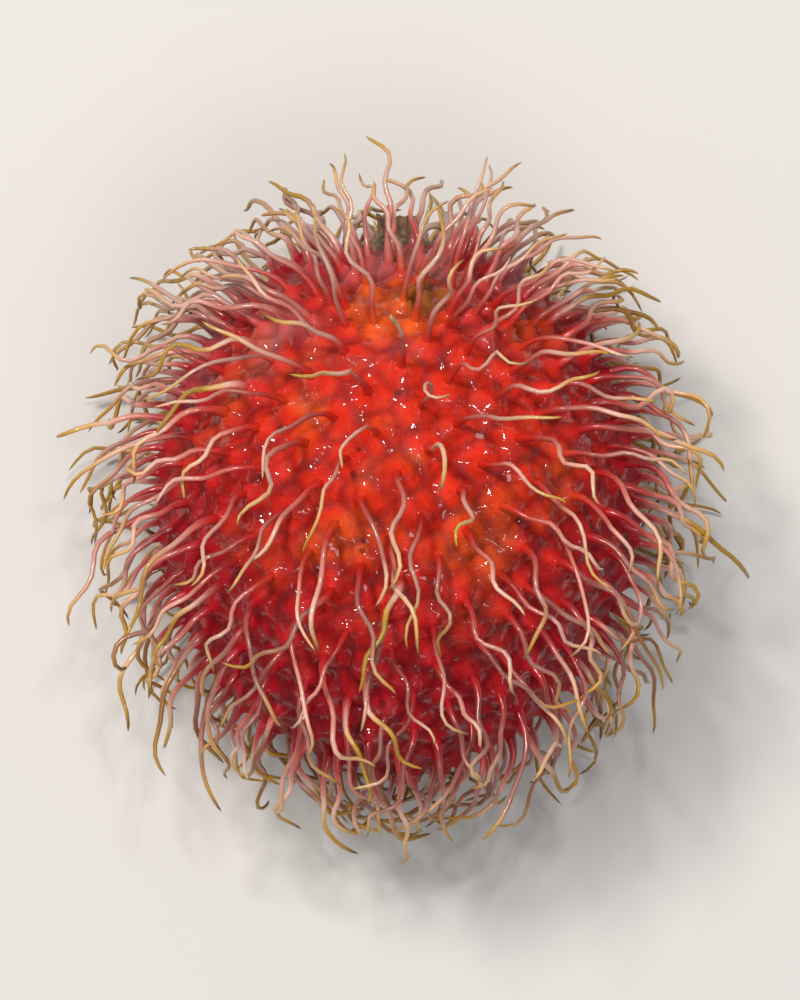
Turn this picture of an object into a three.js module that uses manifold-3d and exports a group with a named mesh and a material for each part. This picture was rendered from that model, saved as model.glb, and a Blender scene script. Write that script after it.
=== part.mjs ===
// A whole rambutan, picked and lying on its side: an egg-shaped leathery peel that is covered all over
// in soft curved spines, with the broken stub of its stalk at one end.
// Millimetres, +Z up. The stalk end points along +Y, and the fruit rests on a small flat spot at the origin.
import * as THREE from "three";
import { ConvexHull } from "three/addons/math/ConvexHull.js";
import { mergeVertices } from "three/addons/utils/BufferGeometryUtils.js";
import Module from "manifold-3d";

// Peel
const PEEL_LENGTH = 42; // along Y, from the stalk end to the blossom end
const PEEL_WIDTH = 38; // across, along X
const PEEL_HEIGHT = 36.4; // across, along Z, before the flat spot is taken off
const EGG_TAPER = 0.04; // the stalk end is this share wider than the middle, the other end as much narrower
const FLAT_DEPTH = 0.5; // how much the peel is flattened where it rests
const FLAT_SIDES = 16; // corners of the flat spot
const RIM_ROUNDS = 8; // rounds in which the place of each corner is worked out

// Spines
const SPINE_PLACES = 450; // on the whole peel, along a spiral about the stalk axis
const PLACE_SCATTER = 0.2; // share of the spacing that a spine is moved along the spiral, at most
const SPINE_LENGTH = 12.4;
const LENGTH_SPREAD = 0.16; // share of the length
const END_SHORTER = 0.16; // share by which the spines at the stalk end and the blossom end are shorter
const FOOT_RADIUS = 1.1; // of the swollen foot, at the peel
const SHAFT_RADIUS = 0.5; // where the shaft leaves the foot
const TIP_RADIUS = 0.3; // just before the point
const FOOT_SHARE = 0.3; // share of a spine's length that its foot takes
const SPINE_SIDES = 3;
const LINE_STEPS = 12; // fine steps that a spine's line is worked out in
const RINGS_AT = [2, 6, 9]; // steps of the line that carry the rings between foot and point
const BARE_STALK_RADIUS = 5; // no spine stands this near the stalk
const BARE_FLAT_HEIGHT = 0.25; // no foot reaches lower than this, which keeps the flat spot bare
const TABLE_GAP = 0.06; // a spine that is pressed flat by the table stays this far above it

// How the spines lie: they part at a crown on the upper side and sweep away from it and towards the blossom
// end. Low down they turn the other way, outwards and up, because the table presses on them.
const CROWN = new THREE.Vector3(0.02, 0.52, 0.85);
const CROWN_REACH = 0.8; // the lean grows to its full angle over this distance, in halves of the peel
const SWEEP_TO_BLOSSOM = 0.35;
const TURN_FROM = -0.85; // height where all spines lie outwards, and the height where none does any more
const TURN_TO = -0.35;
const LEAN_AT_ROOT = 40; // degrees from upright
const LEAN_AT_TIP = 108;
const ROOT_SHARE = 0.25; // share of the length over which a spine takes its lean at the root
const BEND_POWER = 1.6; // the rest of the bend grows with this power of the length
const LEAN_OF_CROWN = 58; // at the tips of the spines at the crown
const LEAN_LOW_DOWN = 70; // at the tips of the lowest spines
const LEAN_SPREAD = 12;
const ASIDE_SPREAD = 34; // degrees that a lean is turned aside, at most
const CURL = 0.42; // sideways waves of a spine, in radians
const CURL_WAVES = 0.8; // along one spine

// Room between the spines, which never run through each other
const SPINE_GAP = 0.3;
const MOST_DRAWS = 12; // leans that are tried for a spine before its place is left empty

// Stalk stub
const STALK_RADIUS = 1.7;
const STALK_LENGTH = 2.4; // how far it stands out of the peel
const STALK_FOOT_RADIUS = 1.9;
const STALK_HOLLOW = 0.25; // depth of the dent in its broken end
const COLLAR_RADIUS = 3.1;
const COLLAR_TOP_RADIUS = 2.8;
const COLLAR_HEIGHT = 0.9;
const STALK_SINK = 2;
const STALK_SIDES = 10;

// Finish
const PEEL_RED = 0xb5262a;
const PEEL_ROUGHNESS = 0.5;

// What each of a spine's random numbers is for
const USE = { place: 1, aside: 2, lean: 3, length: 4, curl: 5, phase: 6, foot: 7 };
const USES_PER_DRAW = 10;

const GOLDEN_ANGLE = Math.PI * (3 - Math.sqrt(5));
const HALF = new THREE.Vector3(PEEL_WIDTH / 2, PEEL_LENGTH / 2, PEEL_HEIGHT / 2);
const CENTRE = new THREE.Vector3(0, 0, HALF.z - FLAT_DEPTH);
const { clamp, degToRad, lerp, smoothstep } = THREE.MathUtils;

const wasm = await Module();
wasm.setup();

// Turns a closed geometry into a solid that can be joined.
function solidOf(geometry) {
  const bare = geometry.clone();
  bare.deleteAttribute("normal");
  bare.deleteAttribute("uv");
  const merged = mergeVertices(bare, 1e-4);
  return new wasm.Manifold(
    new wasm.Mesh({
      numProp: 3,
      vertProperties: merged.attributes.position.array,
      triVerts: new Uint32Array(merged.index.array),
    }),
  );
}

// Turns a solid back into a geometry.
function geometryOf(solid) {
  const mesh = solid.getMesh();
  const geometry = new THREE.BufferGeometry();
  geometry.setAttribute("position", new THREE.BufferAttribute(mesh.vertProperties, mesh.numProp));
  geometry.setIndex(new THREE.BufferAttribute(mesh.triVerts, 1));
  geometry.computeVertexNormals();
  return geometry;
}

// A fixed random number from -1 to 1 for each spine and each use.
function scatter(index, use) {
  const wave = Math.sin(index * 12.9898 + use * 78.233) * 43758.5453;
  return 2 * (wave - Math.floor(wave)) - 1;
}

// How much wider the peel is at a share of the way to the stalk end than in the middle.
function girthAt(y) {
  return 1 + EGG_TAPER * y;
}

// The point of the peel in a direction from its centre.
function peelPoint(direction) {
  const girth = girthAt(direction.y);
  return new THREE.Vector3(girth, 1, girth).multiply(direction).multiply(HALF).add(CENTRE);
}

// How far a point near the peel stands above it.
function heightOverPeel(point) {
  const share = point.clone().sub(CENTRE).divide(HALF);
  const girth = girthAt(share.y);
  share.divide(new THREE.Vector3(girth, 1, girth));
  return point.distanceTo(CENTRE) * (1 - 1 / share.length());
}

// What is left of a vector when its part along a unit vector is taken out.
function across(vector, unit) {
  return vector.clone().addScaledVector(unit, -vector.dot(unit));
}

// The direction of a spine from the centre: along a spiral of even spacing about the stalk axis.
function spineDirection(index) {
  const y = 1 - (2 * (index + 0.5)) / SPINE_PLACES;
  const ring = Math.sqrt(1 - y * y);
  const spacing = Math.sqrt((4 * Math.PI) / SPINE_PLACES);
  const moved = PLACE_SCATTER * spacing * scatter(index, USE.place);
  const turn = index * GOLDEN_ANGLE + moved / Math.max(ring, spacing);
  return new THREE.Vector3(ring * Math.cos(turn), y, ring * Math.sin(turn));
}

// The way a spine leans over the peel, and its angles from upright at the root and the tip.
function leanAt(direction, normal) {
  const fromCrown = direction.clone().sub(CROWN);
  const open = smoothstep(fromCrown.length(), 0, CROWN_REACH);
  fromCrown.y -= SWEEP_TO_BLOSSOM * fromCrown.length();
  const fromTable = direction.clone().setZ(direction.z + 1);
  const upper = smoothstep(direction.z, TURN_FROM, TURN_TO);
  const way = across(fromCrown, normal).setLength(upper);
  way.add(across(fromTable, normal).setLength(1 - upper));
  const fullness = way.length();
  const tip = lerp(LEAN_LOW_DOWN, lerp(LEAN_OF_CROWN, LEAN_AT_TIP, open), upper);
  return { way: way.normalize(), root: LEAN_AT_ROOT * open * fullness, tip: tip * fullness };
}

// The radius of a spine along its length: a swollen foot, then a slow taper to the point.
function spineRadius(along) {
  const foot = Math.max(0, 1 - along / FOOT_SHARE);
  return lerp(SHAFT_RADIUS, TIP_RADIUS, along) + (FOOT_RADIUS - SHAFT_RADIUS) * foot;
}

const RADII = Array.from({ length: LINE_STEPS + 1 }, (_, step) => spineRadius(step / LINE_STEPS));
const TOUCH_REACH = SPINE_LENGTH * (1 + LENGTH_SPREAD) + 2 * FOOT_RADIUS + SPINE_GAP; // between two middles

// Turns a heading that would pass the table in one step to run along it. The room is in steps.
function alongTable(heading, room) {
  if (heading.z >= -room) return heading;
  const level = Math.sqrt(1 - room * room);
  return heading.clone().setZ(0).setLength(level).setZ(-room);
}

// One spine, with its centre line as points from the peel to its tip, for one draw of its scatter.
function spineAt(index, direction, draw) {
  const random = (use) => scatter(index, use + USES_PER_DRAW * draw);
  const normal = direction.clone().divide(HALF).normalize();
  const lean = leanAt(direction, normal);
  const way = lean.way.applyAxisAngle(normal, degToRad(ASIDE_SPREAD * random(USE.aside)));
  const aside = new THREE.Vector3().crossVectors(normal, way);
  const rootAngle = degToRad(lean.root + LEAN_SPREAD * random(USE.lean));
  const tipAngle = degToRad(lean.tip + 2 * LEAN_SPREAD * random(USE.lean));
  const longest = SPINE_LENGTH * (1 - END_SHORTER * direction.y ** 2);
  const step = (longest * (1 + LENGTH_SPREAD * random(USE.length))) / LINE_STEPS;
  const curl = CURL * random(USE.curl);
  const phase = Math.PI * random(USE.phase);
  const line = [peelPoint(direction)];
  for (let i = 0; i < LINE_STEPS; i++) {
    const along = (i + 0.5) / LINE_STEPS;
    const atRoot = rootAngle * Math.min(1, along / ROOT_SHARE);
    const angle = atRoot + (tipAngle - rootAngle) * along ** BEND_POWER;
    const swing = curl * along * Math.sin(2 * Math.PI * CURL_WAVES * along + phase);
    const heading = normal.clone().multiplyScalar(Math.cos(angle));
    heading.addScaledVector(way, Math.sin(angle)).addScaledVector(aside, swing).normalize();
    const room = clamp((line[i].z - TABLE_GAP - RADII[i + 1]) / step, 0, 1);
    line.push(line[i].clone().addScaledVector(alongTable(heading, room), step));
  }
  return { index, direction, normal, way, line };
}

// The room that a spine leaves to the peel and to the earlier spines, with the radii of both taken off.
function roomAround(line, earlier) {
  const middle = line[LINE_STEPS / 2];
  const beyondFoot = line.slice(RINGS_AT[0] + 1);
  let least = Math.min(...beyondFoot.map((point) => heightOverPeel(point) - SHAFT_RADIUS));
  for (const other of earlier) {
    if (other.line[LINE_STEPS / 2].distanceTo(middle) > TOUCH_REACH) continue;
    line.forEach((point, i) => {
      other.line.forEach((near, j) => {
        least = Math.min(least, point.distanceTo(near) - RADII[i] - RADII[j]);
      });
    });
  }
  return least;
}

// The spines that stand on the peel: each takes the first draw that leaves room, or its place stays empty.
function allSpines() {
  const made = [];
  for (let index = 0; index < SPINE_PLACES; index++) {
    const direction = spineDirection(index);
    const root = peelPoint(direction);
    const fromStalk = direction.y > 0 ? Math.hypot(root.x, root.z - CENTRE.z) : Infinity;
    if (fromStalk < BARE_STALK_RADIUS) continue;
    for (let draw = 0; draw < MOST_DRAWS; draw++) {
      const spine = spineAt(index, direction, draw);
      const lowest = Math.min(...footCorners(spine).map((corner) => corner.z));
      if (lowest < BARE_FLAT_HEIGHT) break;
      if (roomAround(spine.line, made) < SPINE_GAP) continue;
      made.push(spine);
      break;
    }
  }
  return made;
}

// The corners of a spine's foot, on the peel.
function footCorners({ index, direction, normal, way }) {
  return Array.from({ length: SPINE_SIDES }, (_, corner) => {
    const turn = Math.PI * scatter(index, USE.foot) + (2 * Math.PI * corner) / SPINE_SIDES;
    const offset = way.clone().applyAxisAngle(normal, turn).multiplyScalar(FOOT_RADIUS);
    return peelPoint(direction.clone().add(offset.divide(HALF)).normalize());
  });
}

// The rim of the flat spot, where the peel meets the table.
function flatRim() {
  return Array.from({ length: FLAT_SIDES }, (_, corner) => {
    const turn = (2 * Math.PI * corner) / FLAT_SIDES;
    let outward = 0;
    for (let round = 0; round < RIM_ROUNDS; round++) {
      const drop = CENTRE.z / (HALF.z * girthAt(outward * Math.sin(turn)));
      outward = Math.sqrt(1 - drop * drop);
    }
    const level = Math.sqrt(1 - outward * outward);
    const direction = new THREE.Vector3(outward * Math.cos(turn), outward * Math.sin(turn), -level);
    return peelPoint(direction).setZ(0);
  });
}

// Adds the rings, the point and the side faces of one spine, which starts on the corners of its foot.
function raiseSpine(line, foot, points, triangles) {
  let ring = foot;
  let from = line[0];
  for (const at of RINGS_AT) {
    const heading = line[at + 1].clone().sub(line[at - 1]).normalize();
    const next = ring.map((corner) => {
      const spoke = across(points[corner].clone().sub(from), heading).setLength(RADII[at]);
      const point = spoke.add(line[at]);
      return points.push(point.setZ(Math.max(point.z, TABLE_GAP))) - 1;
    });
    ring.forEach((corner, i) => {
      const j = (i + 1) % SPINE_SIDES;
      triangles.push([corner, ring[j], next[j]], [corner, next[j], next[i]]);
    });
    ring = next;
    from = line[at];
  }
  const tip = points.push(line[LINE_STEPS].clone()) - 1;
  ring.forEach((corner, i) => triangles.push([corner, ring[(i + 1) % SPINE_SIDES], tip]));
}

// The peel with its spines, as one closed skin. The peel is stretched over the feet of all spines, the flat
// spot and the stalk end, and each foot's own triangle is opened and drawn out along its spine to a point.
function spinyPeel(spines) {
  const feet = spines.map(footCorners);
  const points = [...feet.flat(), ...flatRim(), peelPoint(new THREE.Vector3(0, 1, 0))];
  const placeOf = new Map(points.map((point, place) => [point, place]));
  const footOf = (place) => Math.floor(place / SPINE_SIDES);
  const triangles = [];
  for (const face of new ConvexHull().setFromPoints(points).faces) {
    const corners = [face.edge.prev, face.edge, face.edge.next].map((edge) => placeOf.get(edge.head().point));
    const spine = spines[footOf(corners[0])];
    const isFoot = spine && corners.every((corner) => footOf(corner) === footOf(corners[0]));
    if (isFoot) raiseSpine(spine.line, corners, points, triangles);
    else triangles.push(corners);
  }
  const geometry = new THREE.BufferGeometry().setFromPoints(points);
  geometry.setIndex(triangles.flat());
  return geometry;
}

// The broken stalk and the collar that it grows from, turned about the stalk axis.
function stalk() {
  const profile = [
    [0, -STALK_SINK],
    [COLLAR_RADIUS, -STALK_SINK],
    [COLLAR_TOP_RADIUS, COLLAR_HEIGHT],
    [STALK_FOOT_RADIUS, COLLAR_HEIGHT],
    [STALK_RADIUS, STALK_LENGTH],
    [0, STALK_LENGTH - STALK_HOLLOW],
  ].map(([x, y]) => new THREE.Vector2(x, y));
  const geometry = new THREE.LatheGeometry(profile, STALK_SIDES);
  geometry.translate(CENTRE.x, CENTRE.y + HALF.y, CENTRE.z);
  return geometry;
}

const rambutan = new THREE.Mesh(
  geometryOf(solidOf(spinyPeel(allSpines())).add(solidOf(stalk()))),
  new THREE.MeshStandardMaterial({ color: PEEL_RED, roughness: PEEL_ROUGHNESS, metalness: 0 }),
);
rambutan.name = "rambutan";

const part = new THREE.Group();
part.add(rambutan);

export default part;
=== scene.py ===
"""The looks of a whole rambutan that lies on its side, seen from straight above.

Sizes are in millimetres, unless their own line says otherwise, and in the frame's own axes: +Z is up, +Y
points to the stalk end, and the flat spot that the fruit rests on is at the origin. Each mesh turns to metres
as it is made.
"""

from __future__ import annotations

import logging
import math
from dataclasses import dataclass, field
from enum import Enum, IntEnum
from typing import Any

import bpy
import numpy as np
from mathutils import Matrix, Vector


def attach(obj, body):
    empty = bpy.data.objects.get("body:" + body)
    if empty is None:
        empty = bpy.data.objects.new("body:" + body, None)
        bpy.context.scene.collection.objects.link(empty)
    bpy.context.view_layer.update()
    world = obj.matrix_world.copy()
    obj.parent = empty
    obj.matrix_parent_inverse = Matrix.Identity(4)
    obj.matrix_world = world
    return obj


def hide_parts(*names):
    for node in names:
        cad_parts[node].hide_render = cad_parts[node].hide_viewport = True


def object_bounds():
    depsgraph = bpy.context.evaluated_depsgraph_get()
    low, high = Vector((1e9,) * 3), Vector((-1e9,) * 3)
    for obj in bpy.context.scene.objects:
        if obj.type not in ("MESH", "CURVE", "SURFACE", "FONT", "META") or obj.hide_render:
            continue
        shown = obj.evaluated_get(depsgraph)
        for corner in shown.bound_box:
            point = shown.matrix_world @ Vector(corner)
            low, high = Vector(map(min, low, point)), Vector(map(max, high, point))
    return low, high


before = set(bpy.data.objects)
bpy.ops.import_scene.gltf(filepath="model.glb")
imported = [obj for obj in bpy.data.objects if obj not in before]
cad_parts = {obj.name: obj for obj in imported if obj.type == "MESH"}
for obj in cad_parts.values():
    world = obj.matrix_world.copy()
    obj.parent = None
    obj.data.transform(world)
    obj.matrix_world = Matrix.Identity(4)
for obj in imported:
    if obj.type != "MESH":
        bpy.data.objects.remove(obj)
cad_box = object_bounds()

Array = np.ndarray
Triple = tuple[float, float, float]
Band = tuple[float, float]  # the start and the end of a range

METRES = 0.001
NODE = "rambutan"
BODY = "root"
GOLDEN_ANGLE = math.pi * (3 - math.sqrt(5))
LEVEL = (1.0, 1.0, 0.0)  # a way times this is its level part
ASKEW = (0.31, 0.17, 0.93)  # a way askew to all axes: each tube's first spoke is square to it
TINY = 1e-12  # the least length that anything is divided by

# What the fixed random numbers are made with
INDEX_STEP = 12.9898
USE_STEP = 78.233
SINE_MULTIPLE = 43758.5453

# Sine waves that a random field is the sum of, and their wavelengths as shares of the usual one
WAVE_COUNT = 16
WAVE_SPREAD: Band = (0.7, 1.4)

log = logging.getLogger("rambutan")


class Use(IntEnum):
    """What each of a spine's random numbers is for: the first six are those of the frame's own spines."""

    PLACE = 1
    ASIDE = 2
    LEAN = 3
    LENGTH = 4
    CURL = 5
    PHASE = 6
    WAVE = 11
    WAVE_PHASE = 12
    RIPPLE = 13
    RIPPLE_PHASE = 14
    HOOK = 15
    TINT = 16
    GIRTH = 17
    DULL = 18
    OFTEN = 19
    POINT = 20


class Pattern(IntEnum):
    """What each random field is for, and its seed."""

    SWELLINGS = 1
    WRINKLES = 2
    DENTS = 3
    SEAMS = 4
    HAZE_PATCHES = 5
    HAZE_BORDER = 6
    BARK = 8


class Slot(Enum):
    """The record's finishes."""

    PEEL = "peel"
    SPINES = "spines"
    STALK = "stalk"


def scatter(index: Array, use: Use) -> Array:
    """Gives each spine a fixed random number for one use.

    The number is the part after the point of a large multiple of a sine, stretched to run from -1 to 1.

    Args:
        index: The spines' numbers.
        use: What the random number is for.

    Returns:
        One number from -1 to 1 for each spine.
    """
    wave = np.sin(index * INDEX_STEP + int(use) * USE_STEP) * SINE_MULTIPLE
    return 2 * (wave - np.floor(wave)) - 1


def unit(vectors: Array) -> Array:
    """Scales vectors to length 1."""
    return vectors / np.maximum(np.linalg.norm(vectors, axis=-1, keepdims=True), TINY)


def dot(a: Array, b: Array) -> Array:
    """The scalar product of two arrays of vectors, with its last axis kept."""
    return np.sum(a * b, axis=-1, keepdims=True)


def across(vectors: Array, units: Array) -> Array:
    """What is left of vectors when their parts along unit vectors are taken out."""
    return vectors - dot(vectors, units) * units


def smooth(value: Any, low: float, high: float) -> Any:
    """A smooth step: 0 up to low, 1 from high on, and 3t^2 - 2t^3 between them."""
    share = np.clip((value - low) / (high - low), 0, 1)
    return share * share * (3 - 2 * share)


def bell(value: Array, reach: float) -> Array:
    """A bell curve: 1 at 0 and about a third at the reach, by e to the power of minus the share squared."""
    return np.exp(-((value / reach) ** 2))


def mix(a: Any, b: Any, share: Any) -> Any:
    """The straight mix of a and b: a where share is 0, and b where it is 1."""
    return a + (b - a) * share


def turns(count: int) -> Array:
    """Even turns round a ring, in radians, the first of them 0."""
    return np.arange(count) / count * 2 * math.pi


def waves(points: Array, size: float, pattern: Pattern) -> Array:
    """Gives a smooth random field, with hills about one size apart.

    The field is a sum of sine waves that run in random directions, each with a wavelength a little under or
    over the size, divided by the square root of half their number.

    Args:
        points: Places to read the field at.
        size: The usual wavelength.
        pattern: Which random field.

    Returns:
        The field's value at each point, mostly between -2 and 2.
    """
    random = np.random.default_rng(int(pattern))
    ways = unit(random.normal(size=(WAVE_COUNT, 3))) / random.uniform(*WAVE_SPREAD, (WAVE_COUNT, 1))
    phases = random.uniform(0, 2 * math.pi, WAVE_COUNT)
    return np.sin(points @ ways.T * (2 * math.pi / size) + phases).sum(-1) / math.sqrt(WAVE_COUNT / 2)


def linear(code: str) -> tuple[float, float, float, float]:
    """Turns an sRGB hex colour into linear light.

    Each part is over 12.92 up to 0.04045, and from there on the part plus 0.055, over 1.055, to the power
    of 2.4.

    Args:
        code: Six hex digits, red first.

    Returns:
        Red, green, blue and an alpha of 1.
    """
    parts = [int(code[i : i + 2], 16) / 255 for i in (0, 2, 4)]
    red, green, blue = (c / 12.92 if c <= 0.04045 else ((c + 0.055) / 1.055) ** 2.4 for c in parts)
    return red, green, blue, 1.0


def add(
    tree: bpy.types.NodeTree,
    kind: str,
    inputs: dict[Any, Any] | None = None,
    stops: dict[float, str] | None = None,
    **settings: Any,
) -> bpy.types.Node:
    """Adds one node with its settings and links.

    Args:
        tree: The material's tree.
        kind: The node's type, without the leading word for shader nodes.
        inputs: Sockets by name or number, each with a value or the socket that feeds it.
        stops: A colour ramp's stops, as place to hex colour.
        settings: The node's own properties.

    Returns:
        The new node.
    """
    made = tree.nodes.new("ShaderNode" + kind)
    for name, value in settings.items():
        setattr(made, name, value)
    for key, value in (inputs or {}).items():
        if isinstance(value, bpy.types.NodeSocket):
            tree.links.new(value, made.inputs[key])
        else:
            made.inputs[key].default_value = value
    if stops:
        elements = made.color_ramp.elements
        while len(elements) < len(stops):
            elements.new(1.0)
        for element, (place, code) in zip(elements, sorted(stops.items())):
            element.position = place
            element.color = linear(code)
    return made


def empty_material(name: str) -> tuple[bpy.types.Material, bpy.types.NodeTree]:
    """Makes a material with no nodes.

    Args:
        name: The material's name.

    Returns:
        The material and its tree.
    """
    material = bpy.data.materials.new(name)
    material.use_nodes = True
    material.node_tree.nodes.clear()
    return material, material.node_tree


def closed_tube(rows: int, columns: int) -> tuple[Array, Array]:
    """Lists the faces of a tube of rings that is closed by a hub at each end.

    Its points are the rings in turn, then the hub of the first ring and the hub of the last.

    Args:
        rows: Rings of points.
        columns: Points in each ring.

    Returns:
        The four-sided faces and the triangles, as point numbers, in the order that faces outwards where the
        columns turn to the left about the way that the rows go.
    """
    here = np.arange(rows * columns).reshape(rows, columns)
    over = np.roll(here, -1, axis=1)
    quads = np.stack([here[:-1], over[:-1], over[1:], here[1:]], axis=-1).reshape(-1, 4)
    hub = np.full(columns, rows * columns)
    start = np.stack([over[0], here[0], hub], axis=-1)
    end = np.stack([here[-1], over[-1], hub + 1], axis=-1)
    return quads, np.concatenate([start, end])


def piece(
    name: str,
    points: Array,
    faces: tuple[Array, ...],
    values: dict[str, Array],
    material: bpy.types.Material,
) -> bpy.types.Object:
    """Makes a finished piece of the fruit, which stands for the frame's solid.

    Args:
        name: The piece's name.
        points: Its points.
        faces: Arrays of faces, each array with one number of corners.
        values: Numbers for each point that the material reads, by name.
        material: What it is covered with.

    Returns:
        The new object.
    """
    mesh = bpy.data.meshes.new(name)
    mesh.vertices.add(len(points))
    mesh.vertices.foreach_set("co", (points * METRES).astype(np.float32).ravel())
    corners = np.concatenate([group.ravel() for group in faces]).astype(np.int32)
    counts = np.concatenate([np.full(len(group), group.shape[1]) for group in faces])
    mesh.loops.add(len(corners))
    mesh.loops.foreach_set("vertex_index", corners)
    mesh.polygons.add(len(counts))
    mesh.polygons.foreach_set("loop_start", (np.cumsum(counts) - counts).astype(np.int32))
    mesh.update(calc_edges=True)
    mesh.validate()
    mesh.shade_smooth()
    for key, value in values.items():
        mesh.attributes.new(key, "FLOAT", "POINT").data.foreach_set("value", value.astype(np.float32))
    mesh.materials.append(material)
    made = bpy.data.objects.new(name, mesh)
    bpy.context.scene.collection.objects.link(made)
    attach(made, BODY)
    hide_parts(NODE)
    triangles = int((counts - 2).sum())
    log.info("%s: %d points, %d triangles", name, len(points), triangles)
    return made


@dataclass(frozen=True)
class FruitShape:
    """The bare form of the fruit: an ellipsoid that is a little wider at its stalk end.

    Attributes:
        length: Along Y, from the stalk end to the blossom end.
        width: Across, along X.
        height: Across, along Z, before the flat spot is taken off.
        taper: Share by which the stalk end is wider than the middle.
        flat_depth: How much the peel is flattened where it rests.
        crown: The direction of the place where the spines part.
    """

    length: float = 42.0
    width: float = 38.0
    height: float = 36.4
    taper: float = 0.04
    flat_depth: float = 0.5
    crown: Triple = (0.02, 0.52, 0.85)

    @property
    def half(self) -> Array:
        """Half of the width, the length and the height."""
        return np.array([self.width, self.length, self.height]) / 2

    @property
    def centre(self) -> Array:
        """The middle of the fruit."""
        return np.array([0.0, 0.0, self.height / 2 - self.flat_depth])

    def girth(self, y: Array) -> Array:
        """Factors that widen the fruit by the taper at a share y of the way to the stalk end."""
        wide = 1 + self.taper * y
        return np.stack([wide, np.ones_like(wide), wide], axis=-1)

    def surface(self, directions: Array) -> Array:
        """The peel's points in directions from the centre: half sizes times girth times direction."""
        return self.centre + self.half * self.girth(directions[..., 1]) * directions

    def normals(self, directions: Array) -> Array:
        """The outward normals there: the direction divided by the half sizes, at length 1."""
        return unit(directions / self.half)

    def height_over(self, points: Array) -> Array:
        """Tells how far points near the peel stand above it.

        A point's share of the way from the centre is its length once the half sizes and the girth are
        divided out, and the height is its distance times 1 less one over that share.

        Args:
            points: Points near the peel.

        Returns:
            The height of each point, below 0 inside the peel.
        """
        share = (points - self.centre) / self.half
        share = share / self.girth(share[..., 1])
        far = np.linalg.norm(points - self.centre, axis=-1)
        return far * (1 - 1 / np.linalg.norm(share, axis=-1))


@dataclass(frozen=True)
class SpinePlaces:
    """Where the spines stand: on a spiral of even spacing about the stalk axis.

    Attributes:
        shape: The fruit.
        count: Places on the whole peel.
        spread: Share of the spacing that a spine is moved along the spiral, at most.
        bare_stalk: No spine stands this near the stalk.
        bare_flat: No spine stands lower than this.
        tuft_count: Places on the whole peel for the closer spines of the tuft at the stalk end.
        tuft_from: The tuft's border, as a share of the way from the middle to the stalk end.
        tuft_bare: No spine of the tuft stands this near the stalk.
        tuft_gap: Nor this near another spine.
    """

    shape: FruitShape
    count: int = 450
    spread: float = 0.2
    bare_stalk: float = 5.0
    bare_flat: float = 0.55
    tuft_count: int = 900
    tuft_from: float = 0.62
    tuft_bare: float = 3.4
    tuft_gap: float = 1.35

    def spiral(self, count: int, bare_stalk: float) -> tuple[Array, Array]:
        """Works out even places on the whole peel, without the bare spots.

        A place's height steps evenly from the stalk end, and its turn by the golden angle, plus its scatter.

        Args:
            count: Places on the whole peel.
            bare_stalk: No place is this near the stalk.

        Returns:
            The places' numbers, and their directions from the fruit's centre.
        """
        index = np.arange(count, dtype=float)
        y = 1 - 2 * (index + 0.5) / count
        ring = np.sqrt(1 - y * y)
        spacing = math.sqrt(4 * math.pi / count)
        moved = self.spread * spacing * scatter(index, Use.PLACE)
        turn = index * GOLDEN_ANGLE + moved / np.maximum(ring, spacing)
        directions = np.stack([ring * np.cos(turn), y, ring * np.sin(turn)], axis=-1)
        roots = self.shape.surface(directions)
        from_stalk = np.hypot(roots[:, 0], roots[:, 2] - self.shape.centre[2])
        stands = ((y <= 0) | (from_stalk >= bare_stalk)) & (roots[:, 2] > self.bare_flat)
        return index[stands], directions[stands]

    def every(self) -> tuple[Array, Array]:
        """Works out the places of all spines: the even ones, then the tuft's between them.

        Returns:
            The spines' numbers, where the tuft's start after the others, and their directions.
        """
        index, directions = self.spiral(self.count, self.bare_stalk)
        closer, closer_directions = self.spiral(self.tuft_count, self.tuft_bare)
        roots, others = self.shape.surface(closer_directions), self.shape.surface(directions)
        gaps = np.linalg.norm(roots[:, None] - others[None], axis=-1).min(axis=-1)
        stands = (closer_directions[:, 1] > self.tuft_from) & (gaps > self.tuft_gap)
        numbers = np.concatenate([index, closer[stands] + self.count])
        return numbers, np.concatenate([directions, closer_directions[stands]])


@dataclass(frozen=True)
class Haze:
    """The pale haze on the rind and the spines: patchy, only at the stalk end, and not on the unripe spot.

    Attributes:
        border: Places along the fruit between which it sets in.
        slant: How much nearer the stalk end its border lies for each millimetre to the right.
        wander: How far the border wanders.
        wander_size: Distance over which it does.
        patch_size: Width of its patches.
        patches: Values of the patches' random field between which it sets in.
        clear_place: The middle of the clear spot.
        clear: Distances from there between which it sets in.
    """

    border: Band = (11.5, 20.0)
    slant: float = 0.2
    wander: float = 2.0
    wander_size: float = 9.0
    patch_size: float = 6.0
    patches: Band = (-1.6, 0.8)
    clear_place: Triple = (0.5, 16.4, 30.0)
    clear: Band = (2.5, 6.0)

    def at(self, points: Array) -> Array:
        """Tells how much haze lies on points of the fruit.

        It is the product of three smooth steps: of the place along the fruit, less the slant and with a
        random wander, of a second random field, and of the distance from the clear spot.

        Args:
            points: Points of the fruit.

        Returns:
            The share of haze at each point.
        """
        wander = self.wander * waves(points, self.wander_size, Pattern.HAZE_BORDER)
        reached = smooth(points[:, 1] - self.slant * points[:, 0] + wander, *self.border)
        patchy = smooth(waves(points, self.patch_size, Pattern.HAZE_PATCHES), *self.patches)
        clear = smooth(np.linalg.norm(points - self.clear_place, axis=-1), *self.clear)
        return reached * patchy * clear


@dataclass(frozen=True)
class Spot:
    """A roundish spot of another colour on the rind.

    Attributes:
        colour: Of the spot.
        place: Its middle.
        reach: Distance at which it has faded out, with the wander of its border.
    """

    colour: str
    place: Triple
    reach: float


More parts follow.
